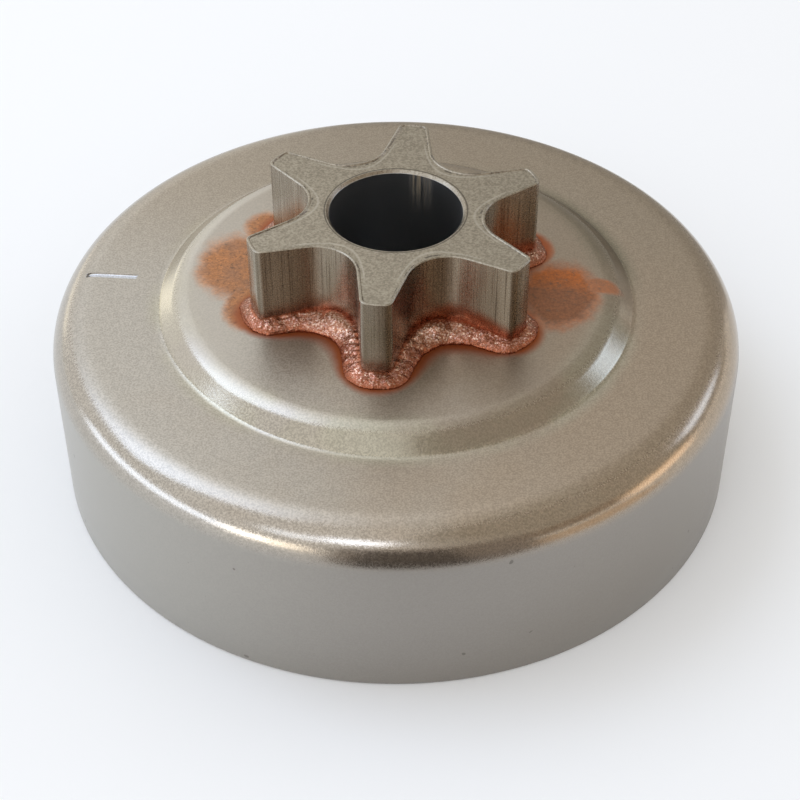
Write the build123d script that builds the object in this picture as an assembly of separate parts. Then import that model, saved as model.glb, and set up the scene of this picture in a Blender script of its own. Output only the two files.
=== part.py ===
from build123d import *
from math import asin, atan2, cos, isclose, radians, sin, tan
import os

# Chainsaw clutch drum with a spur sprocket brazed to its face.
# Millimetres. Z is the axis that the drum turns about. The open rim stands in the plane Z = 0,
# the sprocket is on top, and one of its teeth points along -Y.

# Drum, deep-drawn from one steel sheet
drum_outer_diameter = 69.1
sheet_thickness = 2.0
face_height = 18.9  # from the rim to the flat face
shoulder_radius = 3.85  # outside of the bend between wall and face
rim_chamfer = 0.3

# Raised seat that is pressed up in the middle of the face
seat_height = 1.85  # above the face
seat_foot_diameter = 47.6  # where the ramp leaves the face
seat_ramp_run = 2.2  # radial width of the ramp
seat_edge_radius = 2.9  # outside of the bend between ramp and seat
seat_foot_radius = 0.7  # hollow side of the bend between face and ramp

# Notch in the rim for the end of the oil pump's drive spring
notch_width = 4.0
notch_depth = 3.0
notch_corner_radius = 1.0

# Spur sprocket
tooth_count = 6
tip_diameter = 30.0
root_diameter = 17.3
tip_land = 2.85  # width of a tooth across its tip
flank_angle = 11.5  # degrees between a flank and the middle line of its tooth
tip_corner_radius = 0.4
sprocket_height = 8.8  # above the seat

# Bore for the needle cage, and the spigot that centres the sprocket in the drum
bore_diameter = 13.0
bore_chamfer = 0.35
spigot_diameter = 16.2
spigot_clearance = 0.05  # radial gap that the filler metal is drawn into
spigot_projection = 0.5  # past the inner side of the seat

# Bead of copper filler round the toothed foot
bead_height = 1.15  # up the flanks
bead_reach = 1.7  # out over the seat from flanks and tips
bead_gullet_reach = 2.5  # out over the seat from the bottom of a gullet
bead_bite = 0.2  # how far its upper edge is drawn inside the sprocket before the sprocket is cut out

seat_level = face_height + seat_height
seat_underside = seat_level - sheet_thickness


def drum_section():
    """Half section of the cup in radius and height, one sheet thick all the way."""
    outer = drum_outer_diameter / 2
    inner = outer - sheet_thickness
    hole = spigot_diameter / 2 + spigot_clearance
    foot = seat_foot_diameter / 2
    edge = foot - seat_ramp_run
    ramp_angle = atan2(seat_height, seat_ramp_run)
    inner_shift = sheet_thickness * tan(ramp_angle / 2)
    underside = face_height - sheet_thickness
    shoulder = (outer, face_height)
    inner_shoulder = (inner, underside)
    seat_foot = (foot, face_height)
    inner_foot = (foot - inner_shift, underside)
    seat_edge = (edge, seat_level)
    inner_edge = (edge - inner_shift, seat_underside)
    section = make_face(
        Polyline(
            (outer - rim_chamfer, 0),
            (outer, rim_chamfer),
            shoulder,
            seat_foot,
            seat_edge,
            (hole, seat_level),
            (hole, seat_underside),
            inner_edge,
            inner_foot,
            inner_shoulder,
            (inner, rim_chamfer),
            (inner + rim_chamfer, 0),
            close=True,
        )
    )
    bends = {
        shoulder: shoulder_radius,
        inner_shoulder: shoulder_radius - sheet_thickness,
        seat_foot: seat_foot_radius,
        inner_foot: seat_foot_radius + sheet_thickness,
        seat_edge: seat_edge_radius,
        inner_edge: seat_edge_radius - sheet_thickness,
    }
    for corner, radius in bends.items():
        section = fillet(section.vertices().sort_by_distance(corner)[0], radius)
    return section


def clutch_drum():
    """The cup turned from its section, with the spring's notch cut through the rim at +Y."""
    cup = revolve(Plane.XZ * drum_section(), Axis.Z)
    notch = Plane.XZ * RectangleRounded(notch_width, 2 * notch_depth, notch_corner_radius)
    return cup - extrude(notch, -drum_outer_diameter)


def toothed_face(spread, gullet_spread, corner_radius):
    """Outline of the sprocket grown by spread at flanks and tips and by gullet_spread in the gullets.

    Each gullet is one arc, tangent to the straight flanks on both sides of it.
    """
    slope = radians(flank_angle)
    half_pitch = radians(180 / tooth_count)
    land_angle = asin(tip_land / tip_diameter)
    tip = tip_diameter / 2 + spread
    root = root_diameter / 2 + gullet_spread
    flank_offset = tip_diameter / 2 * sin(land_angle + slope) + spread
    corner_angle = asin(flank_offset / tip) - slope
    centre = (root - flank_offset) / (1 - sin(half_pitch + slope))
    gullet_radius = centre - root
    corner = Vector(tip * cos(corner_angle), tip * sin(corner_angle))
    gullet_bottom = Vector(root * cos(half_pitch), root * sin(half_pitch))
    flank_end = Vector(
        centre * cos(half_pitch) - gullet_radius * sin(slope),
        centre * sin(half_pitch) - gullet_radius * cos(slope),
    )
    opposite_corner = Vector(corner.X, -corner.Y)
    next_tooth = Rot(0, 0, 360 / tooth_count)
    next_flank_end = (next_tooth * Pos(flank_end.X, -flank_end.Y)).position
    next_corner = (next_tooth * Pos(opposite_corner)).position
    pitch = Curve() + [
        ThreePointArc(opposite_corner, (tip, 0), corner),
        Line(corner, flank_end),
        ThreePointArc(flank_end, gullet_bottom, next_flank_end),
        Line(next_flank_end, next_corner),
    ]
    first_tooth_angle = -90
    turns = [first_tooth_angle + 360 / tooth_count * tooth for tooth in range(tooth_count)]
    outline = make_face([edge for turn in turns for edge in (Rot(0, 0, turn) * pitch).edges()])
    nearest_first = outline.vertices().sort_by_distance((0, 0))
    return fillet(nearest_first[-2 * tooth_count:], corner_radius)


def spur_sprocket():
    """Toothed body on the seat and a round spigot through the drum, bored through both."""
    teeth = extrude(Pos(0, 0, seat_level) * toothed_face(0, 0, tip_corner_radius), sprocket_height)
    spigot_end = seat_underside - spigot_projection
    upwards = (Align.CENTER, Align.CENTER, Align.MIN)
    spigot = Pos(0, 0, spigot_end) * Cylinder(spigot_diameter / 2, seat_level - spigot_end, align=upwards)
    length = seat_level + sprocket_height - spigot_end
    bore = Pos(0, 0, spigot_end) * Cylinder(bore_diameter / 2, length, align=upwards)
    body = teeth + spigot - bore
    round_edges = body.edges().filter_by(GeomType.CIRCLE)
    mouths = [edge for edge in round_edges if isclose(edge.radius, bore_diameter / 2)]
    return chamfer(mouths, bore_chamfer)


def braze_bead():
    """Sloping bead between the seat and the flanks, with the toothed body cut out of it."""
    foot = toothed_face(bead_reach, bead_gullet_reach, tip_corner_radius + bead_reach)
    crest = toothed_face(-bead_bite, -bead_bite, tip_corner_radius)
    mound = loft([foot, Pos(0, 0, bead_height) * crest], ruled=True)
    teeth = extrude(toothed_face(0, 0, tip_corner_radius), sprocket_height)
    return Pos(0, 0, seat_level) * (mound - teeth)


os.makedirs("parts", exist_ok=True)
for piece in (clutch_drum, spur_sprocket, braze_bead):
    export_step(piece(), f"parts/{piece.__name__}.step")
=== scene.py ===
import bmesh
import bpy
from math import asin, cos, hypot, pi, radians, sin
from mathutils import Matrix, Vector


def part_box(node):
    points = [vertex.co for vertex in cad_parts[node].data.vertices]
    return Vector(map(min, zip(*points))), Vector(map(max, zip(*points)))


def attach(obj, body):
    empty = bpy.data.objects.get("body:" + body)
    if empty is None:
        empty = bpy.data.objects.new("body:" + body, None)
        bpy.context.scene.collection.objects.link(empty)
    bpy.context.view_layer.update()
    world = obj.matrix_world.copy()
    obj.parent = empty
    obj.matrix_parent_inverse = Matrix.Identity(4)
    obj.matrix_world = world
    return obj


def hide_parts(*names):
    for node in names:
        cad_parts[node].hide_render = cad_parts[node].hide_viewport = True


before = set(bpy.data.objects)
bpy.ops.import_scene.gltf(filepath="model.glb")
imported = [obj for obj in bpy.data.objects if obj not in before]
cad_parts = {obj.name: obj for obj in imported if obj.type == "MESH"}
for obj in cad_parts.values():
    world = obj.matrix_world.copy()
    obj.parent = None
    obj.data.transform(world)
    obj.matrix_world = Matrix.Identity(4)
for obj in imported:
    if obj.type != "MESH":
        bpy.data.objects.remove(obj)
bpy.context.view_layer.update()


# Clutch drum: one cup deep-drawn from steel sheet, with a raised seat pressed up in the middle of
# its face and a notch cut in the rim. The brazing furnace left the sheet satin grey with straw tints,
# and some of the melted copper ran out over the seat.
mm = 0.001
drum_low, drum_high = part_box("clutch_drum")
outer_radius = min(-drum_low.x, drum_high.x, -drum_low.y, drum_high.y)
seat_level = drum_high.z
seat_rise = 1.85 * mm
face_level = seat_level - seat_rise
sheet_thickness = 2.0 * mm
shoulder_radius = 3.85 * mm
seat_foot_radius = 23.8 * mm
ramp_run = 2.2 * mm
seat_edge_radius = seat_foot_radius - ramp_run
foot_bend_cut = 0.26 * mm
edge_bend_cut = 1.06 * mm
rim_chamfer = 0.3 * mm
spigot_hole_radius = 8.15 * mm
notch_width = 4.0 * mm
notch_depth = 3.0 * mm
notch_corner = 1.0 * mm
support = 0.6 * mm  # from a bend to the ring that keeps the sheet beside it flat


def start_piece(operator, name, **settings):
    """Adds one primitive with nothing else selected, and opens it in edit mode."""
    bpy.ops.object.select_all(action="DESELECT")
    operator(**settings)
    piece = bpy.context.object
    piece.name = name
    piece.data.name = name
    bpy.ops.object.mode_set(mode="EDIT")
    return piece


def select_only(piece, kind, test):
    """Selects the points, edges or faces that pass the test, and nothing else."""
    bpy.ops.mesh.select_mode(type=kind)
    bpy.ops.mesh.select_all(action="DESELECT")
    mesh = bmesh.from_edit_mesh(piece.data)
    for part in {"VERT": mesh.verts, "EDGE": mesh.edges, "FACE": mesh.faces}[kind]:
        part.select_set(test(part))
    bmesh.update_edit_mesh(piece.data)


def on_ring(edge, radius, level):
    """Whether an edge lies on the circle of that radius at that height."""
    near = 0.02 * mm
    points = [vert.co for vert in edge.verts]
    at_radius = all(abs(hypot(point.x, point.y) - radius) < near for point in points)
    return at_radius and all(abs(point.z - level) < near for point in points)


def apply_modifier(piece, kind, **settings):
    """Adds one modifier to a piece in object mode and applies it."""
    bpy.context.view_layer.objects.active = piece
    modifier = piece.modifiers.new(kind.lower(), kind)
    for setting, value in settings.items():
        setattr(modifier, setting, value)
    bpy.ops.object.modifier_apply(modifier=modifier.name)


def join_solid(piece, operation, other):
    """Joins the other solid to the piece, or cuts it out of the piece, and removes it."""
    apply_modifier(piece, "BOOLEAN", operation=operation, solver="EXACT", object=other)
    bpy.data.objects.remove(other)


def shade_by_angle(piece, angle):
    """Smooths the shading over every edge that turns less than the angle."""
    bpy.ops.object.select_all(action="DESELECT")
    piece.select_set(True)
    bpy.context.view_layer.objects.active = piece
    bpy.ops.object.shade_smooth_by_angle(angle=radians(angle))


drum = start_piece(bpy.ops.mesh.primitive_circle_add, "drum_shell", vertices=256, radius=outer_radius)
drum_rings = [
    (outer_radius, notch_depth + support),
    (outer_radius, face_level - shoulder_radius - support),
    (outer_radius, face_level),
    (outer_radius - shoulder_radius - support, face_level),
    (seat_foot_radius + support, face_level),
    (seat_foot_radius, face_level),
    (seat_edge_radius, seat_level),
    (seat_edge_radius - 3 * support, seat_level),
    (spigot_hole_radius, seat_level),
]
ring_radius, ring_level = outer_radius, drum_low.z
for radius, level in drum_rings:
    growth = radius / ring_radius
    bpy.ops.mesh.extrude_edges_move(TRANSFORM_OT_translate={"value": (0, 0, level - ring_level)})
    bpy.ops.transform.resize(value=(growth, growth, 1), center_override=(0, 0, 0))
    ring_radius, ring_level = radius, level
for radius, level, width, segments in (
    (outer_radius, face_level, shoulder_radius, 18),
    (seat_foot_radius, face_level, foot_bend_cut, 5),
    (seat_edge_radius, seat_level, edge_bend_cut, 12),
):
    select_only(drum, "EDGE", lambda edge: on_ring(edge, radius, level))
    bpy.ops.mesh.bevel(offset=width, segments=segments, profile=0.5, affect="EDGES", clamp_overlap=False)
bpy.ops.mesh.select_all(action="SELECT")
bpy.ops.mesh.normals_make_consistent(inside=False)
bpy.ops.object.mode_set(mode="OBJECT")
apply_modifier(drum, "SOLIDIFY", thickness=sheet_thickness, offset=-1, use_even_offset=True,
               material_offset=1)

bpy.ops.object.mode_set(mode="EDIT")
rim_radii = (outer_radius, outer_radius - sheet_thickness)
select_only(drum, "EDGE", lambda edge: any(on_ring(edge, radius, drum_low.z) for radius in rim_radii))
bpy.ops.mesh.bevel(offset=rim_chamfer, segments=3, affect="EDGES")
bpy.ops.object.mode_set(mode="OBJECT")

notch = start_piece(bpy.ops.mesh.primitive_cube_add, "notch_punch", size=1)
bpy.ops.transform.resize(value=(notch_width, 4 * sheet_thickness, 2 * notch_depth))
bpy.ops.transform.translate(value=(0, outer_radius, 0))
select_only(notch, "EDGE", lambda edge: all(vert.co.z > 0 for vert in edge.verts)
            and edge.verts[0].co.x * edge.verts[1].co.x > 0)
bpy.ops.mesh.bevel(offset=notch_corner, segments=6, affect="EDGES")
bpy.ops.object.mode_set(mode="OBJECT")
join_solid(drum, "DIFFERENCE", notch)

# The index line that is pressed in the face at the left, deeper at its outer end.
mark_length = 4.1 * mm
mark_width = 0.7 * mm
mark_place = (-29.1 * mm, -0.33 * mm, face_level + 0.14 * mm)
mark_turn = radians(-2.6)
index_mark = start_piece(bpy.ops.mesh.primitive_cube_add, "index_punch", size=1)
bpy.ops.transform.resize(value=(mark_length, mark_width, 0.6 * mm))
bpy.ops.transform.translate(value=(0.5 * mm, 0, 0))
select_only(index_mark, "FACE", lambda face: face.normal.x < -0.9)
bpy.ops.mesh.extrude_region_move(TRANSFORM_OT_translate={"value": (-0.7 * mm, 0, -0.1 * mm)})
bpy.ops.mesh.extrude_region_move(TRANSFORM_OT_translate={"value": (-0.4 * mm, 0, -0.2 * mm)})
bpy.ops.mesh.select_all(action="SELECT")
bpy.ops.mesh.bevel(offset=0.12 * mm, segments=3, affect="EDGES")
bpy.ops.transform.translate(value=mark_place)
bpy.ops.transform.rotate(value=mark_turn, orient_axis="Z", center_override=mark_place)
bpy.ops.object.mode_set(mode="OBJECT")
join_solid(drum, "DIFFERENCE", index_mark)
shade_by_angle(drum, 32)


def feed(tree, value, socket):
    """Feeds a socket from another node's output, or sets it to a plain value."""
    if isinstance(value, bpy.types.NodeSocket):
        tree.links.new(value, socket)
    else:
        socket.default_value = value


def add_node(tree, kind, inputs, **settings):
    """Adds one shader node with its settings and its inputs."""
    node = tree.nodes.new(kind)
    for setting, value in settings.items():
        setattr(node, setting, value)
    for socket, value in inputs.items():
        feed(tree, value, node.inputs[socket])
    return node


def calc(tree, operation, *values):
    """One sum of up to three values."""
    return add_node(tree, "ShaderNodeMath", dict(enumerate(values)), operation=operation).outputs[0]


def total(tree, *values):
    """All the values added together."""
    result = values[0]
    for value in values[1:]:
        result = calc(tree, "ADD", result, value)
    return result


def product(tree, *values):
    """All the values multiplied together."""
    result = values[0]
    for value in values[1:]:
        result = calc(tree, "MULTIPLY", result, value)
    return result


def less(tree, mask, share):
    """1, made less by that share of the mask."""
    return calc(tree, "SUBTRACT", 1.0, product(tree, mask, share))


def sway(tree, grey, width):
    """Turns a noise into a shift to both sides, over that width in all."""
    return product(tree, calc(tree, "SUBTRACT", grey, 0.5), width)


def rise(tree, value, low, high):
    """Smooth step from 0, where the value is low, to 1, where it is high."""
    inputs = {"Value": value, "From Min": low, "From Max": high}
    return add_node(tree, "ShaderNodeMapRange", inputs, interpolation_type="SMOOTHSTEP").outputs["Result"]


def band(tree, value, start, full_from, full_to, end):
    """1 where the value is inside the full limits, fading to 0 at the start and the end."""
    return product(tree, rise(tree, value, start, full_from), rise(tree, value, end, full_to))


def blend(tree, mask, first, second, mode="MIX"):
    """Goes from the first colour to the second by a mask."""
    inputs = {0: mask, 6: first, 7: second}
    return add_node(tree, "ShaderNodeMix", inputs, data_type="RGBA", blend_type=mode).outputs[2]


def cover(tree, under, over, *masks):
    """Lays one colour over another where all the masks are 1. A plain number thins it."""
    return blend(tree, product(tree, *masks), under, over)


def tone(tree, mask, low, high):
    """A grey that goes from low to high by a mask."""
    return blend(tree, mask, (low, low, low, 1), (high, high, high, 1))


def noise(tree, place, waves, detail, roughness):
    """Noise with that many waves to the millimetre."""
    inputs = {"Vector": place, "Scale": waves, "Detail": detail, "Roughness": roughness}
    return add_node(tree, "ShaderNodeTexNoise", inputs).outputs["Fac"]


def stretch(tree, place, factors):
    """The same place with each axis drawn out or squeezed."""
    return add_node(tree, "ShaderNodeVectorMath", {0: place, 1: factors}, operation="MULTIPLY").outputs[0]


def split(tree, place):
    """The three numbers of a place, a normal or a colour."""
    return add_node(tree, "ShaderNodeSeparateXYZ", {0: place}).outputs


def axis_reach(tree, place):
    """How far a place is from the Z axis."""
    level_place = stretch(tree, place, (1, 1, 0))
    return add_node(tree, "ShaderNodeVectorMath", {0: level_place}, operation="LENGTH").outputs["Value"]


def patch(tree, place, ragged, centre, size):
    """A ragged round patch: 1 in its middle and 0 outside its size, in millimetres."""
    moved = add_node(tree, "ShaderNodeVectorMath", {0: place, 1: centre}, operation="SUBTRACT").outputs[0]
    reach = axis_reach(tree, stretch(tree, moved, (1 / size[0], 1 / size[1], 1)))
    return rise(tree, total(tree, reach, ragged), 1.16, 0.66)


def new_group(name, inputs, outputs):
    """An empty node group with its named sockets."""
    group = bpy.data.node_groups.new(name, "ShaderNodeTree")
    for socket, kind in inputs.items():
        group.interface.new_socket(socket, in_out="INPUT", socket_type=kind)
    for socket in outputs:
        group.interface.new_socket(socket, in_out="OUTPUT", socket_type="NodeSocketFloat")
    return group, group.nodes.new("NodeGroupInput").outputs, group.nodes.new("NodeGroupOutput").inputs


def use_group(tree, group, inputs):
    """Places a node group in a material."""
    node = tree.nodes.new("ShaderNodeGroup")
    node.node_tree = group
    for socket, value in inputs.items():
        feed(tree, value, node.inputs[socket])
    return node.outputs


def new_metal(name):
    """An empty metal material, with its object coordinates in millimetres and its normal."""
    material = bpy.data.materials.new(name)
    material.use_nodes = True
    tree = material.node_tree
    shader = tree.nodes["Principled BSDF"]
    shader.inputs["Metallic"].default_value = 1.0
    coordinates = add_node(tree, "ShaderNodeTexCoord", {})
    place = add_node(tree, "ShaderNodeVectorMath", {0: coordinates.outputs["Object"], "Scale": 1 / mm},
                     operation="SCALE").outputs[0]
    return material, tree, shader, place, coordinates.outputs["Normal"]


def set_surface(tree, shader, colour, roughness, height, depth):
    """Feeds a metal's colour, roughness and relief, whose depth is in millimetres."""
    bump = add_node(tree, "ShaderNodeBump", {"Strength": 1.0, "Distance": depth * mm, "Height": height})
    feed(tree, colour, shader.inputs["Base Color"])
    feed(tree, roughness, shader.inputs["Roughness"])
    feed(tree, bump.outputs["Normal"], shader.inputs["Normal"])


# Fine and broad grain together, as flecks of tone and as height.
satin_grain, ends, results = new_group(
    "satin_grain", {"Place": "NodeSocketVector", "Waves": "NodeSocketFloat"}, ("Fleck", "Height")
)
tree = satin_grain
fine_grain = noise(tree, ends["Place"], ends["Waves"], 2.0, 0.6)
broad_grain = noise(tree, ends["Place"], product(tree, ends["Waves"], 0.31), 1.0, 0.5)
both_grains = total(tree, product(tree, fine_grain, 0.85), product(tree, broad_grain, 0.15))
feed(tree, rise(tree, both_grains, 0.33, 0.67), results["Fleck"])
feed(tree, both_grains, results["Height"])

# Distance in millimetres from the sprocket's toothed outline, which the copper on the seat follows. It is
# worked out on one half of a tooth.
tip_radius = 15.0 * mm
flank_slope = radians(11.5)
half_pitch = radians(30)
flank_distance = 4.37
corner_round = 0.7
gullet_round = 8.15
tooth_distance, ends, results = new_group("tooth_distance", {"Place": "NodeSocketVector"}, ("Distance",))
tree = tooth_distance
along_x, along_y, _ = split(tree, ends["Place"])
from_axis = axis_reach(tree, ends["Place"])
turn = calc(tree, "SUBTRACT", calc(tree, "ARCTAN2", along_y, along_x), half_pitch)
half_tooth = calc(tree, "PINGPONG", turn, half_pitch)
near_flank = calc(tree, "SINE", calc(tree, "ADD", half_tooth, flank_slope))
next_flank = calc(tree, "SINE", calc(tree, "SUBTRACT", 2 * half_pitch + flank_slope, half_tooth))
near_reach = calc(tree, "SUBTRACT", product(tree, near_flank, from_axis), flank_distance)
next_reach = calc(tree, "SUBTRACT", product(tree, next_flank, from_axis), flank_distance)
flank_reach = calc(tree, "SMOOTH_MIN", near_reach, next_reach, gullet_round)
flank_reach = calc(tree, "ADD", flank_reach, corner_round)
tip_reach = calc(tree, "SUBTRACT", from_axis, tip_radius / mm - corner_round)
past_flank = calc(tree, "POWER", calc(tree, "MAXIMUM", flank_reach, 0.0), 2.0)
past_tip = calc(tree, "POWER", calc(tree, "MAXIMUM", tip_reach, 0.0), 2.0)
outside = calc(tree, "SQRT", calc(tree, "ADD", past_flank, past_tip))
inside = calc(tree, "MINIMUM", calc(tree, "MAXIMUM", flank_reach, tip_reach), 0.0)
feed(tree, calc(tree, "SUBTRACT", total(tree, outside, inside), corner_round), results["Distance"])

pale_steel = (0.445, 0.407, 0.35, 1)
straw_steel = (0.412, 0.333, 0.25, 1)
far_straw = (0.375, 0.315, 0.24, 1)
ramp_straw = (0.44, 0.405, 0.315, 1)
painted_ramp_shade = (0.27, 0.24, 0.175, 1)
painted_ramp_sheen = (0.565, 0.53, 0.41, 1)
lit_left_wall = (0.46, 0.445, 0.405, 1)
shaded_right_wall = (0.335, 0.31, 0.28, 1)
painted_mark_highlight = (0.58, 0.585, 0.6, 1)
pit_brown = (0.12, 0.105, 0.09, 1)
seat_brown = (0.26, 0.205, 0.15, 1)
painted_seat_light = (0.54, 0.495, 0.43, 1)
left_run_bright = (0.58, 0.22, 0.052, 1)
left_run_dull = (0.36, 0.165, 0.074, 1)
right_run_bright = (0.43, 0.112, 0.01, 1)
right_run_dull = (0.235, 0.084, 0.028, 1)
run_soot = (0.13, 0.07, 0.035, 1)
margin_red = (0.35, 0.093, 0.026, 1)
inside_dark = (0.3, 0.28, 0.24, 1)
inside_pale = (0.42, 0.4, 0.36, 1)
face_height = face_level / mm

drum_steel, tree, shader, place, normal = new_metal("drum_satin_steel")
along_x, along_y, height = split(tree, place)
from_axis = axis_reach(tree, place)
cloud = noise(tree, place, 0.09, 3.0, 0.55)
ragged = sway(tree, noise(tree, place, 0.5, 4.0, 0.65), 0.5)
grain = use_group(tree, satin_grain, {"Place": place, "Waves": 5.6})
distance = use_group(tree, tooth_distance, {"Place": place})["Distance"]

# Face, ramp and wall of the bare sheet, with painted shade, a painted sheen and painted light on them.
tint_reach = total(tree, along_x, sway(tree, cloud, 40.0))
face = blend(tree, rise(tree, tint_reach, -22.0, 26.0), pale_steel, straw_steel)
ramp = band(tree, from_axis, 19.0, 21.5, 23.5, 25.5)
face = cover(tree, face, ramp_straw, ramp, rise(tree, cloud, 0.38, 0.62))
face = cover(tree, face, far_straw, rise(tree, along_y, -6.0, 20.0), 0.8)
# Painted shade: the ramp's far right side is darkened where it faces away from the light.
painted_shade_side = product(tree, rise(tree, along_x, 6.0, 17.0), rise(tree, along_y, 2.0, 9.0))
face = cover(tree, face, painted_ramp_shade, ramp, painted_shade_side)
# Painted sheen: a bright band laid on the left ramp as a painted highlight.
painted_sheen_side = product(tree, rise(tree, along_x, -14.0, -20.0), rise(tree, along_y, -13.0, -6.0))
painted_sheen_ring = band(tree, from_axis, 20.6, 22.4, 23.2, 24.0)
face = cover(tree, face, painted_ramp_sheen, painted_sheen_side, painted_sheen_ring, 0.85)
wall_edge = total(tree, height, product(tree, ragged, 0.6))
wall = rise(tree, wall_edge, face_height - 2.0, face_height - 4.0)
# Painted light: the wall is lighter on the left and darker on the right, as the light falls on it.
painted_wall_light = blend(tree, rise(tree, along_x, -30.0, 8.0), lit_left_wall, shaded_right_wall)
colour = blend(tree, wall, face, painted_wall_light)

# The floor of the index line, painted bright as a painted highlight, then the flecks and the pits.
mark_middle = calc(tree, "MULTIPLY_ADD", along_x, 0.045, 0.98)
mark_side = calc(tree, "ABSOLUTE", calc(tree, "SUBTRACT", along_y, mark_middle))
mark_ends = band(tree, along_x, -31.9, -31.6, -26.6, -26.4)
at_face = rise(tree, height, face_height - 0.9, face_height - 0.8)
colour = cover(tree, colour, painted_mark_highlight, rise(tree, mark_side, 0.36, 0.26), mark_ends, at_face)
fleck_tone = tone(tree, grain["Fleck"], 0.82, 1.17)
colour = blend(tree, less(tree, wall, 0.75), colour, fleck_tone, "MULTIPLY")
pits = rise(tree, noise(tree, place, 0.9, 1.0, 0.4), 0.775, 0.8)
colour = cover(tree, colour, pit_brown, pits, wall, 0.6)

# The seat, and the copper that ran out over it: middle and reach of each run, and how strong it is.
on_seat = rise(tree, height, face_height + 0.05, face_height + 0.4)
# The seat is painted darker and browner towards the right, and paler on the left as painted light.
colour = cover(tree, colour, seat_brown, on_seat, rise(tree, along_x, -2.0, 12.0), 0.35)
colour = cover(tree, colour, painted_seat_light, on_seat, rise(tree, along_x, -8.0, -17.0), 0.5)
run = 0.0
for centre, size, share in (
    ((-16.2, 0.6, 0), (4.2, 5.6), 1.0),
    ((-14.3, -5.6, 0), (2.1, 3.9), 1.0),
    ((-14.3, 7.2, 0), (2.5, 2.9), 1.0),
    ((16.2, -0.2, 0), (4.3, 5.5), 1.0),
    ((19.9, 1.7, 0), (2.6, 1.3), 0.8),
    ((13.7, 6.4, 0), (1.8, 2.2), 0.7),
):
    one_run = product(tree, patch(tree, place, ragged, centre, size), share)
    run = calc(tree, "MAXIMUM", run, one_run)
run = product(tree, run, on_seat)
side_tips = rise(tree, calc(tree, "ABSOLUTE", along_x), 9.0, 13.5)
margin_reach = total(tree, distance, product(tree, ragged, 0.9), product(tree, side_tips, 0.4))
margin = product(tree, rise(tree, margin_reach, 2.9, 1.65), on_seat)
mottle = rise(tree, noise(tree, place, 0.4, 5.0, 0.7), 0.34, 0.66)
core = rise(tree, run, 0.55, 1.0)
left_mottle = product(tree, total(tree, mottle, core), 0.5)
left_colour = blend(tree, left_mottle, left_run_bright, left_run_dull)
low_side = product(tree, rise(tree, along_y, 3.5, -1.5), core)
right_mottle = total(tree, product(tree, mottle, 0.45), low_side)
right_colour = blend(tree, right_mottle, right_run_bright, right_run_dull)
run_colour = blend(tree, rise(tree, along_x, -6.0, 6.0), left_colour, right_colour)
run_fleck = rise(tree, noise(tree, place, 1.9, 3.0, 0.75), 0.57, 0.67)
run_colour = cover(tree, run_colour, run_soot, run_fleck, core, 0.7)
run_tone = tone(tree, noise(tree, place, 3.5, 3.0, 0.7), 0.2, 1.85)
run_colour = blend(tree, 1.0, run_colour, run_tone, "MULTIPLY")
colour = cover(tree, colour, run_colour, run, 0.95)
colour = cover(tree, colour, margin_red, margin, 0.97)

stained = calc(tree, "MAXIMUM", run, margin)
flat = rise(tree, split(tree, normal)[2], 0.8, 0.998)
roughness = total(
    tree, 0.15, product(tree, grain["Fleck"], 0.08), product(tree, flat, 0.2),
    product(tree, stained, 0.28), product(tree, wall, 0.15)
)
feed(tree, less(tree, run, 0.7), shader.inputs["Metallic"])
relief = product(tree, grain["Height"], less(tree, wall, 0.6))
set_surface(tree, shader, colour, roughness, relief, 0.01)

drum_inside, tree, shader, place, _ = new_metal("drum_inside_steel")
grain = use_group(tree, satin_grain, {"Place": stretch(tree, place, (1, 1, 3)), "Waves": 2.5})
cloud = noise(tree, place, 0.12, 3.0, 0.55)
colour = blend(tree, cloud, inside_dark, inside_pale)
colour = blend(tree, 0.6, colour, tone(tree, grain["Fleck"], 0.7, 1.2), "MULTIPLY")
roughness = total(tree, 0.32, product(tree, grain["Fleck"], 0.14))
set_surface(tree, shader, colour, roughness, grain["Height"], 0.012)

drum.data.materials.append(drum_steel)
drum.data.materials.append(drum_inside)
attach(drum, "root")
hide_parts("clutch_drum")


# Spur sprocket: six teeth on drawn steel bar, faced off on top and bored for a needle cage. Its spigot
# goes through the drum. The drawing die left lines along the flanks, and facing left a burr at the edge.
sprocket_low, sprocket_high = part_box("spur_sprocket")
root_radius = 8.65 * mm
tip_land = 2.85 * mm
tip_corner_cut = 0.6 * mm
edge_drop = 0.09 * mm
bore_radius = 6.5 * mm
bore_chamfer = 0.35 * mm
spigot_radius = 8.1 * mm


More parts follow.
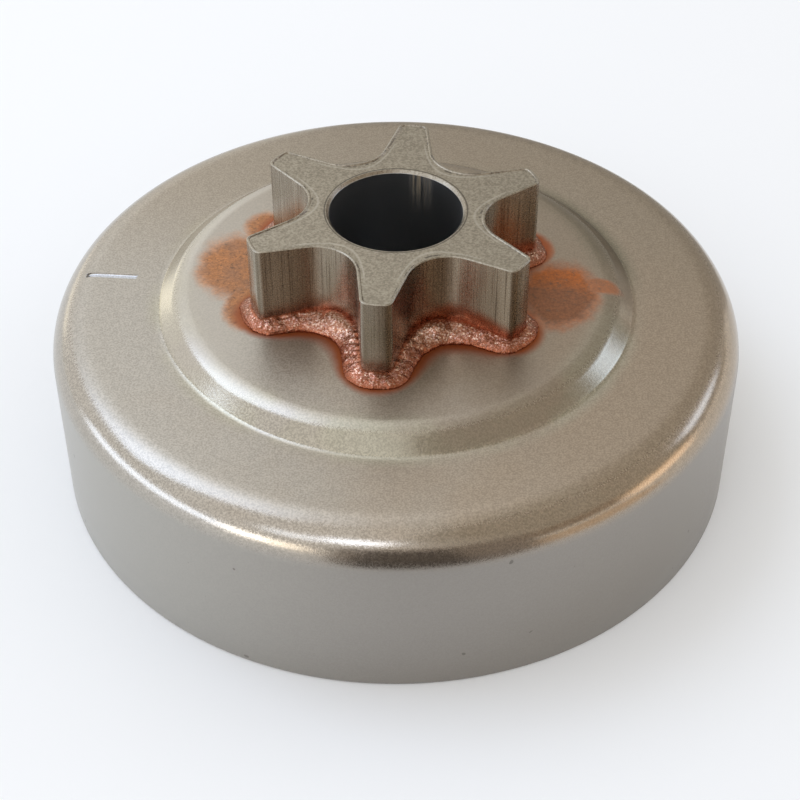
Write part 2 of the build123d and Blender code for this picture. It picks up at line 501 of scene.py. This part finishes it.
def toothed_block(name, spread, gullet_spread, bottom, top, corner_cut):
    """A block with the sprocket's outline, grown by spread at the teeth and gullet_spread between them.

    One gullet and one tooth tip are drawn from a point, and then turned into six.
    """
    tip = tip_radius + spread
    root = root_radius + gullet_spread
    flank_offset = tip_radius * sin(asin(tip_land / 2 / tip_radius) + flank_slope) + spread
    corner_turn = asin(flank_offset / tip) - flank_slope
    centre_reach = (root - flank_offset) / (1 - sin(half_pitch + flank_slope))
    gullet_radius = centre_reach - root
    gullet_sweep = pi - 2 * (half_pitch + flank_slope)
    gullet_turn = radians(-60)
    start_turn = gullet_turn + pi + gullet_sweep / 2
    end_turn = start_turn - gullet_sweep
    tooth_turn = gullet_turn + half_pitch
    centre = Vector((centre_reach * cos(gullet_turn), centre_reach * sin(gullet_turn), bottom))
    start = centre + gullet_radius * Vector((cos(start_turn), sin(start_turn), 0))
    gullet_end = centre + gullet_radius * Vector((cos(end_turn), sin(end_turn), 0))
    corner = Vector((tip * cos(tooth_turn - corner_turn), tip * sin(tooth_turn - corner_turn), bottom))
    far_corner = Vector((tip * cos(tooth_turn + corner_turn), tip * sin(tooth_turn + corner_turn), bottom))
    sixth = 2 * half_pitch
    next_start = Vector((
        start.x * cos(sixth) - start.y * sin(sixth),
        start.x * sin(sixth) + start.y * cos(sixth),
        bottom,
    ))

    block = start_piece(bpy.ops.mesh.primitive_plane_add, name, size=mm)
    bpy.ops.mesh.select_mode(type="VERT")
    bpy.ops.mesh.merge(type="CENTER")
    bpy.ops.transform.translate(value=start)
    bpy.ops.mesh.spin(steps=20, angle=gullet_sweep, center=centre, axis=(0, 0, 1))
    bpy.ops.mesh.extrude_vertices_move(TRANSFORM_OT_translate={"value": corner - gullet_end})
    bpy.ops.mesh.spin(steps=2, angle=-2 * corner_turn, center=(0, 0, bottom), axis=(0, 0, 1))
    bpy.ops.mesh.extrude_vertices_move(TRANSFORM_OT_translate={"value": next_start - far_corner})
    bpy.ops.mesh.select_all(action="SELECT")
    bpy.ops.mesh.spin(steps=6, angle=2 * pi, center=(0, 0, bottom), axis=(0, 0, 1), dupli=True)
    bpy.ops.mesh.select_all(action="SELECT")
    bpy.ops.mesh.remove_doubles(threshold=0.005 * mm)
    bpy.ops.mesh.edge_face_add()
    bpy.ops.mesh.extrude_region_move(TRANSFORM_OT_translate={"value": (0, 0, top - bottom)})
    corner_reach = tip - 0.01 * mm
    select_only(block, "EDGE", lambda edge: abs(edge.verts[0].co.z - edge.verts[1].co.z) > mm / 20
                and hypot(edge.verts[0].co.x, edge.verts[0].co.y) > corner_reach
                and edge.calc_face_angle(0) > radians(30))
    bpy.ops.mesh.bevel(offset=corner_cut, segments=5, affect="EDGES")
    bpy.ops.mesh.select_all(action="SELECT")
    bpy.ops.mesh.normals_make_consistent(inside=False)
    return block


sprocket = toothed_block("sprocket_teeth", 0, 0, seat_level, sprocket_high.z, tip_corner_cut)
select_only(sprocket, "FACE", lambda face: face.normal.z > 0.9)
for inset, lift in ((0.11, 0), (0.13, 0), (0.08, -0.08)):
    bpy.ops.mesh.inset(thickness=inset * mm, depth=lift * mm, use_even_offset=True)
edge_level = sprocket_high.z - 0.005 * mm
select_only(sprocket, "EDGE", lambda edge: min(vert.co.z for vert in edge.verts) > edge_level
            and edge.calc_face_angle(0) > radians(60))
bpy.ops.transform.translate(value=(0, 0, -edge_drop))
bpy.ops.object.mode_set(mode="OBJECT")

spigot_length = seat_level + mm - sprocket_low.z
spigot = start_piece(bpy.ops.mesh.primitive_cylinder_add, "spigot", vertices=128, radius=spigot_radius,
                     depth=spigot_length, location=(0, 0, sprocket_low.z + spigot_length / 2))
bpy.ops.object.mode_set(mode="OBJECT")
join_solid(sprocket, "UNION", spigot)

bore_length = sprocket_high.z - sprocket_low.z - 2 * bore_chamfer
bore_middle = (sprocket_high.z + sprocket_low.z) / 2
bore = start_piece(bpy.ops.mesh.primitive_cylinder_add, "bore_cutter", vertices=128, radius=bore_radius,
                   depth=bore_length, location=(0, 0, bore_middle))
flare = (bore_radius + bore_chamfer) / bore_radius
for side in (1, -1):
    select_only(bore, "FACE", lambda face: face.normal.z * side > 0.9)
    bpy.ops.mesh.extrude_region_move(TRANSFORM_OT_translate={"value": (0, 0, side * bore_chamfer)})
    bpy.ops.transform.resize(value=(flare, flare, 1), center_override=(0, 0, bore_middle))
    bpy.ops.mesh.extrude_region_move(TRANSFORM_OT_translate={"value": (0, 0, side * mm)})
bpy.ops.object.mode_set(mode="OBJECT")
join_solid(sprocket, "DIFFERENCE", bore)
shade_by_angle(sprocket, 30)

top_dark = (0.27, 0.235, 0.18, 1)
top_pale = (0.44, 0.39, 0.305, 1)
painted_ridge_highlight = (0.62, 0.57, 0.48, 1)
painted_line_shadow = (0.09, 0.075, 0.06, 1)
flank_dark = (0.36, 0.315, 0.26, 1)
flank_pale = (0.47, 0.425, 0.36, 1)
die_line_brown = (0.21, 0.175, 0.14, 1)
lit_flank_tone = (1.1, 1.12, 1.12, 1)
shaded_flank_tone = (0.8, 0.68, 0.6, 1)
score_brown = (0.13, 0.1, 0.075, 1)
left_creep = (0.4, 0.16, 0.095, 1)
right_creep = (0.34, 0.125, 0.065, 1)
painted_tip_shade = (0.2, 0.165, 0.125, 1)
bore_steel = (0.44, 0.44, 0.44, 1)
painted_bore_highlight = (0.5, 0.41, 0.29, 1)
bore_side = bore_radius / mm
bore_mouth = (bore_radius + bore_chamfer) / mm
creep_fall = 0.3  # the copper stands lower on the flanks, further from the axis


def between(tree, mask, first, second):
    """Goes from the first number to the second by a mask."""
    return add_node(tree, "ShaderNodeMix", {0: mask, 2: first, 3: second}, data_type="FLOAT").outputs[0]


sprocket_steel, tree, shader, place, normal = new_metal("sprocket_drawn_steel")
along_x, along_y, height = split(tree, place)
facing_x, facing_y, facing_z = split(tree, normal)
from_axis = axis_reach(tree, place)
facing_up = rise(tree, facing_z, 0.55, 0.85)
in_bore = rise(tree, from_axis, bore_side + 0.06, bore_side + 0.02)
distance = use_group(tree, tooth_distance, {"Place": place})["Distance"]
grain = use_group(tree, satin_grain, {"Place": place, "Waves": 4.5})
die_lines = noise(tree, stretch(tree, place, (1, 1, 0.012)), 7.0, 3.0, 0.7)
broad_lines = noise(tree, stretch(tree, place, (1, 1, 0.02)), 0.8, 2.0, 0.5)

# The faced top, with painted shadow lines inside the torn burr along its edge and round the bore.
top_colour = blend(tree, grain["Fleck"], top_dark, top_pale)
# Painted highlight: a bright line where a faint raised ridge runs inside the edge at the gullets.
ridge_line = band(tree, distance, -0.8, -0.7, -0.64, -0.54)
top_colour = cover(tree, top_colour, painted_ridge_highlight, ridge_line, rise(tree, from_axis, 12.0, 10.5), 0.4)
torn = rise(tree, noise(tree, place, 1.1, 3.0, 0.7), 0.5, 0.56)
burr_shadow_line = product(tree, band(tree, distance, -0.42, -0.34, -0.28, -0.22), torn)
bore_shadow_line = band(tree, from_axis, bore_mouth - 0.01, bore_mouth + 0.04, bore_mouth + 0.12, bore_mouth + 0.17)
painted_shadow_lines = calc(tree, "MAXIMUM", burr_shadow_line, bore_shadow_line)
top_colour = cover(tree, top_colour, painted_line_shadow, painted_shadow_lines, 0.75)

# The drawn flanks, with the copper that crept up them from the seat.
flank_colour = blend(tree, rise(tree, broad_lines, 0.3, 0.7), flank_dark, flank_pale)
flank_colour = blend(tree, rise(tree, die_lines, 0.5, 0.3), flank_colour, die_line_brown)
# Painted light and shade: flanks turned towards +X are painted darker and warmer, the others lighter.
less_flank_shade = product(tree, rise(tree, facing_x, 0.6, 0.9), 0.6)
shaded_flank_side = calc(tree, "SUBTRACT", rise(tree, facing_x, -0.15, 0.25), less_flank_shade)
painted_flank_light = blend(tree, shaded_flank_side, lit_flank_tone, shaded_flank_tone)
flank_colour = blend(tree, 1.0, flank_colour, painted_flank_light, "MULTIPLY")
scores = rise(tree, noise(tree, stretch(tree, place, (1, 1, 0.01)), 3.4, 1.0, 0.5), 0.69, 0.74)
flank_colour = cover(tree, flank_colour, score_brown, scores, 0.8)
right_rise = product(tree, rise(tree, along_x, 2.0, 9.0), -1.1)
left_fall = product(tree, rise(tree, along_x, 1.0, -5.0), 0.4)
outward_fall = product(tree, from_axis, creep_fall)
creep_edge = total(tree, height, sway(tree, broad_lines, 1.2), outward_fall, right_rise, left_fall)
creep = product(tree, rise(tree, creep_edge, 26.5, 25.1), rise(tree, distance, -0.3, -0.1))
creep_colour = blend(tree, rise(tree, along_x, -4.0, 4.0), left_creep, right_creep)
flank_colour = cover(tree, flank_colour, creep_colour, creep, 0.88)
# Painted shade on the front-facing flanks near the tips.
near_tip = product(tree, rise(tree, from_axis, 14.5, 14.9), rise(tree, facing_y, -0.8, -0.97))
flank_colour = cover(tree, flank_colour, painted_tip_shade, near_tip, 0.55)

# The bore, with a rougher streak down its far side, painted golden as a painted highlight.
streak_side = band(tree, along_x, 0.3, 1.1, 2.2, 3.2)
streak_fade = product(tree, rise(tree, along_y, 4.8, 5.4), rise(tree, height, 23.5, 28.6))
rough_and_highlight_streak = product(tree, streak_side, streak_fade, rise(tree, die_lines, 0.36, 0.6))
bore_colour = blend(tree, rough_and_highlight_streak, bore_steel, painted_bore_highlight)
flank_colour = blend(tree, in_bore, flank_colour, bore_colour)

colour = blend(tree, facing_up, flank_colour, top_colour)
relief = between(tree, facing_up, die_lines, grain["Height"])
roughness = total(tree, 0.21, product(tree, grain["Fleck"], 0.1), product(tree, facing_up, 0.1))
bore_roughness = total(tree, 0.34, product(tree, rough_and_highlight_streak, 0.3))
roughness = between(tree, in_bore, roughness, bore_roughness)
set_surface(tree, shader, colour, roughness, relief, 0.016)
sprocket.data.materials.append(sprocket_steel)
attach(sprocket, "root")
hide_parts("spur_sprocket")


# Braze bead: copper that melted in the furnace, was drawn under the sprocket and froze in a lumpy,
# crystalline roll round its toothed foot. It is thickest in the gullets.
bead_reach = 1.65 * mm
bead_gullet_reach = 2.5 * mm
bead_edge_level = seat_level + 0.16 * mm
bead_corner_cut = 1.9 * mm
bead_voxel = 0.12 * mm
foot_bite = 0.25 * mm
lump_radius = 1.8 * mm
lump_place = (9.4 * mm, 0, seat_level + 0.3 * mm)
side_tip_reach = 6 * mm
bead = toothed_block("copper_bead", bead_reach, bead_gullet_reach, seat_level, bead_edge_level,
                     bead_corner_cut)
select_only(bead, "FACE", lambda face: face.normal.z > 0.9)
for inset, lift in ((0.16, 0.28), (0.26, 0.28), (0.34, 0.24), (0.42, 0.2), (0.42, 0.14)):
    bpy.ops.mesh.inset(thickness=inset * mm, depth=lift * mm, use_even_offset=True)
bpy.ops.object.mode_set(mode="OBJECT")
foot_hole = toothed_block("foot_cutter", -foot_bite, -foot_bite, seat_level - mm, seat_level + 4 * mm,
                          0.2 * mm)
bpy.ops.object.mode_set(mode="OBJECT")
join_solid(bead, "DIFFERENCE", foot_hole)
start_piece(bpy.ops.mesh.primitive_uv_sphere_add, "gullet_lumps", segments=24, ring_count=12,
            radius=lump_radius, location=lump_place)
bpy.ops.transform.resize(value=(0.85, 1.35, 0.8), center_override=lump_place)
bpy.ops.mesh.spin(steps=5, angle=radians(300), center=(0, 0, 0), axis=(0, 0, 1), dupli=True)
bpy.ops.object.mode_set(mode="OBJECT")
bead.select_set(True)
bpy.context.view_layer.objects.active = bead
bpy.ops.object.join()
apply_modifier(bead, "REMESH", mode="VOXEL", voxel_size=bead_voxel)

# The roll gets lower towards the tips, and is drawn in a little round those at both sides.
bpy.ops.object.mode_set(mode="EDIT")
for ring, lower in ((10.6, 0.95), (11.4, 0.94), (12.2, 0.93), (13.0, 0.92), (13.8, 0.9), (14.6, 0.88)):
    select_only(bead, "VERT", lambda vert: hypot(vert.co.x, vert.co.y) > ring * mm)
    bpy.ops.transform.resize(value=(1, 1, lower), center_override=(0, 0, seat_level))
for ring in (15.1, 15.4, 15.7, 16.0):
    select_only(bead, "VERT", lambda vert: hypot(vert.co.x, vert.co.y) > ring * mm
                and abs(vert.co.x) > side_tip_reach)
    bpy.ops.transform.resize(value=(0.993, 0.993, 1), center_override=(0, 0, 0))
bpy.ops.object.mode_set(mode="OBJECT")
apply_modifier(bead, "SMOOTH", factor=0.5, iterations=8)
for name, size, swell in (("bead_lumps", 1.2, 0.28), ("bead_crystals", 0.2, 0.12)):
    lumps = bpy.data.textures.new(name, "CLOUDS")
    lumps.noise_scale = size * mm
    lumps.noise_depth = 1
    apply_modifier(bead, "DISPLACE", texture=lumps, texture_coords="LOCAL", strength=swell * mm,
                   mid_level=0.5)
shade_by_angle(bead, 60)

tip_dull = (0.28, 0.1, 0.055, 1)
gullet_dull = (0.36, 0.175, 0.11, 1)
tip_bright = (0.6, 0.33, 0.225, 1)
gullet_bright = (0.8, 0.57, 0.43, 1)
tip_pink = (0.6, 0.34, 0.3, 1)
gullet_pink = (0.76, 0.56, 0.5, 1)
painted_shade_copper = (0.25, 0.135, 0.09, 1)
fleck_copper = (0.38, 0.15, 0.085, 1)
painted_glint_copper = (0.98, 0.76, 0.56, 1)
flank_red = (0.35, 0.12, 0.06, 1)
oxide_and_shade_red = (0.31, 0.098, 0.047, 1)
seat_height = seat_level / mm

braze_copper, tree, shader, place, _ = new_metal("braze_copper")
along_x, along_y, height = split(tree, place)
from_axis = axis_reach(tree, place)
distance = use_group(tree, tooth_distance, {"Place": place})["Distance"]
grain = use_group(tree, satin_grain, {"Place": place, "Waves": 5.0})
in_gullet = rise(tree, from_axis, 12.2, 9.8)
crystals = add_node(tree, "ShaderNodeTexVoronoi", {"Vector": place, "Scale": 7.0}).outputs["Color"]
crystal_tone, crystal_hue, _ = split(tree, crystals)
# The copper is painted lighter and pinker in the gullets, partly as painted light where the fillet there is
# lit.
dull = blend(tree, in_gullet, tip_dull, gullet_dull)
bright = blend(tree, in_gullet, tip_bright, gullet_bright)
pink = blend(tree, in_gullet, tip_pink, gullet_pink)
bright = blend(tree, crystal_hue, bright, pink)
colour = blend(tree, rise(tree, crystal_tone, 0.4, 0.92), dull, bright)
# Painted shade: the duller crystals are darkened away from the front of the roll and at its far left end.
painted_shade_side = calc(tree, "MAXIMUM", rise(tree, along_y, -8.0, -5.0), rise(tree, along_x, -12.0, -14.0))
colour = cover(tree, colour, painted_shade_copper, painted_shade_side, rise(tree, crystal_tone, 0.95, 0.7), 0.7)
colour = cover(tree, colour, fleck_copper, grain["Fleck"], 0.4)
# Painted glints: the brightest crystals are lightened as painted highlights.
colour = cover(tree, colour, painted_glint_copper, rise(tree, crystal_tone, 0.9, 0.95), 0.5)
creep_edge = total(tree, height, product(tree, from_axis, creep_fall))
flank_edge = product(tree, rise(tree, distance, 0.35, 0.05), rise(tree, creep_edge, 24.4, 25.2))
colour = cover(tree, colour, flank_red, flank_edge, 0.8)
# The low outer side of the roll is painted dark red: partly oxide, partly painted shade.
low_edge = rise(tree, height, seat_height + 0.75, seat_height + 0.15)
colour = cover(tree, colour, oxide_and_shade_red, low_edge, 0.85)
roughness = total(tree, 0.2, product(tree, crystal_hue, 0.24))
set_surface(tree, shader, colour, roughness, grain["Height"], 0.06)
bead.data.materials.append(braze_copper)
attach(bead, "root")
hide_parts("braze_bead")


# Floor and light: a white sheet in a white room, with soft lamps where the metal shows bright bands
# and cloth cards where it shows dark or golden ones.
floor = start_piece(bpy.ops.mesh.primitive_plane_add, "floor", size=2.4, location=(0, 0, drum_low.z))
bpy.ops.object.mode_set(mode="OBJECT")
white_sheet = bpy.data.materials.new("white_sheet")
white_sheet.use_nodes = True
sheet_shader = white_sheet.node_tree.nodes["Principled BSDF"]
sheet_shader.inputs["Base Color"].default_value = (0.96, 0.945, 0.915, 1)
sheet_shader.inputs["Roughness"].default_value = 0.9
sheet_shader.inputs["Specular IOR Level"].default_value = 0.1
floor.data.materials.append(white_sheet)

scene = bpy.context.scene
scene.view_settings.view_transform = "Standard"
white_room = bpy.data.worlds.new("white_room")
white_room.use_nodes = True
scene.world = white_room
tree = white_room.node_tree
rays = add_node(tree, "ShaderNodeLightPath", {}).outputs
seen = calc(tree, "MAXIMUM", rays["Is Camera Ray"], rays["Is Glossy Ray"])
seen = calc(tree, "MAXIMUM", seen, rays["Is Transmission Ray"])
room_strength = total(tree, 0.8, product(tree, seen, 0.2))
background = tree.nodes["Background"]
background.inputs["Color"].default_value = (1, 1, 1, 1)
feed(tree, room_strength, background.inputs["Strength"])


def toward(turn, lift):
    """Direction from the object, turned to the right from its front and lifted from the floor, in degrees."""
    turn, lift = radians(turn), radians(lift)
    return Vector((sin(turn) * cos(lift), -cos(turn) * cos(lift), sin(lift)))


lamp_distance = 0.6
for name, direction, width, length, brightness, tint in (
    ("top_lamp", toward(-101, 55), 0.30, 0.40, 2.05, (0.58, 0.72, 1)),
    ("top_left_lamp", toward(-142, 60), 0.28, 0.28, 0.5, (0.8, 0.9, 1)),
    ("left_pane", toward(-25, 36), 0.14, 0.11, 1.7, (0.66, 0.78, 1)),
    ("right_pane", toward(-5, 41), 0.15, 0.11, 4.2, (0.64, 0.76, 1)),
    ("low_left_window", toward(-63, 9), 0.76, 0.12, 2.2, (0.62, 0.75, 1)),
    ("low_front_window", toward(-30, 8), 0.24, 0.15, 2.0, (0.96, 0.9, 0.8)),
    ("back_left_window", toward(-153, 22), 0.12, 0.10, 1.0, (0.8, 0.9, 1)),
    ("left_glint_lamp", toward(-132, 5), 0.2, 0.08, 0.75, (1, 0.95, 0.8)),
    ("far_right_window", toward(117, 25), 0.22, 0.10, 2.3, (0.54, 0.7, 1)),
    ("warm_lamp", toward(89, 8), 0.27, 0.14, 0.95, (1, 0.7, 0.42)),
):
    lamp_data = bpy.data.lights.new(name, "AREA")
    lamp_data.shape = "RECTANGLE"
    lamp_data.size = width
    lamp_data.size_y = length
    lamp_data.energy = brightness * pi * width * length
    lamp_data.color = tint
    lamp = bpy.data.objects.new(name, lamp_data)
    lamp.location = direction * lamp_distance
    lamp.rotation_euler = direction.to_track_quat("Z", "Y").to_euler()
    scene.collection.objects.link(lamp)


def dress_card(card, shade):
    """Gives a card its cloth, and lets only the metal see it."""
    card.visible_camera = False
    card.visible_diffuse = False
    card.visible_shadow = False
    cloth = bpy.data.materials.new(card.name + "_cloth")
    cloth.use_nodes = True
    cloth_shader = cloth.node_tree.nodes["Principled BSDF"]
    cloth_shader.inputs["Base Color"].default_value = shade
    cloth_shader.inputs["Roughness"].default_value = 0.9
    card.data.materials.append(cloth)


def hanging_card(name, direction, distance, width, length, shift, shade):
    """Hangs a card at a distance from the object, facing it, and shifts it along its width."""
    card = start_piece(bpy.ops.mesh.primitive_plane_add, name, size=1)
    bpy.ops.transform.resize(value=(width, length, 1))
    bpy.ops.transform.translate(value=(shift, 0, 0))
    bpy.ops.object.mode_set(mode="OBJECT")
    card.location = direction * distance
    card.rotation_euler = direction.to_track_quat("Z", "Y").to_euler()
    dress_card(card, shade)
    return card


def sloping_card(name, turn, near, near_width, far, far_width, top, shade):
    """Stands a card on the floor near the object and slopes it up and away to its top edge."""
    middle = -(far + near) / 2
    card = start_piece(bpy.ops.mesh.primitive_plane_add, name, size=1)
    bpy.ops.transform.resize(value=(far_width, far - near, 1))
    bpy.ops.transform.translate(value=(0, middle, drum_low.z + mm))
    select_only(card, "EDGE", lambda edge: all(vert.co.y > middle for vert in edge.verts))
    bpy.ops.transform.resize(value=(near_width / far_width, 1, 1), center_override=(0, 0, 0))
    select_only(card, "EDGE", lambda edge: all(vert.co.y < middle for vert in edge.verts))
    bpy.ops.transform.translate(value=(0, 0, top))
    bpy.ops.mesh.select_all(action="SELECT")
    bpy.ops.transform.rotate(value=radians(-turn), orient_axis="Z", center_override=(0, 0, 0))
    bpy.ops.object.mode_set(mode="OBJECT")
    dress_card(card, shade)


# The right card fades into the white room at one end.
right_cloth = (0.64, 0.6, 0.53, 1)
faded_cloth = (0.97, 0.96, 0.94, 1)
right_card = hanging_card("right_card", toward(92, 46), 0.9, 2.6, 1.3, -0.3, right_cloth)
tree = right_card.data.materials[0].node_tree
card_x = split(tree, add_node(tree, "ShaderNodeTexCoord", {}).outputs["Object"])[0]
cloth_colour = blend(tree, rise(tree, card_x, -1.6, -0.6), faded_cloth, right_cloth)
feed(tree, cloth_colour, tree.nodes["Principled BSDF"].inputs["Base Color"])
hanging_card("side_card", toward(57, 14), 0.5, 0.3, 0.13, 0, (0.42, 0.34, 0.26, 1))
sloping_card("back_card", 164, 0.085, 0.10, 0.55, 0.66, 0.50, (0.5, 0.46, 0.4, 1))
sloping_card("gold_card", 56, 0.074, 0.06, 0.42, 0.26, 0.006, (0.88, 0.68, 0.48, 1))
sloping_card("front_card", 16, 0.062, 0.055, 0.36, 0.37, 0.19, (0.36, 0.31, 0.265, 1))
sloping_card("front_core", 10, 0.060, 0.03, 0.14, 0.055, 0.058, (0.14, 0.12, 0.105, 1))


# Camera: at the photograph's viewing angle, a little to the right of the near tooth.
camera_data = bpy.data.cameras.new("camera")
camera_data.lens = 81.93
camera_data.sensor_width = 36.0
camera_data.clip_start = 0.01
camera = bpy.data.objects.new("camera", camera_data)
camera.location = (18.12 * mm, -142.7 * mm, 132.28 * mm)
camera.rotation_euler = (radians(48.47), 0, radians(7.08))
scene.collection.objects.link(camera)
scene.camera = camera
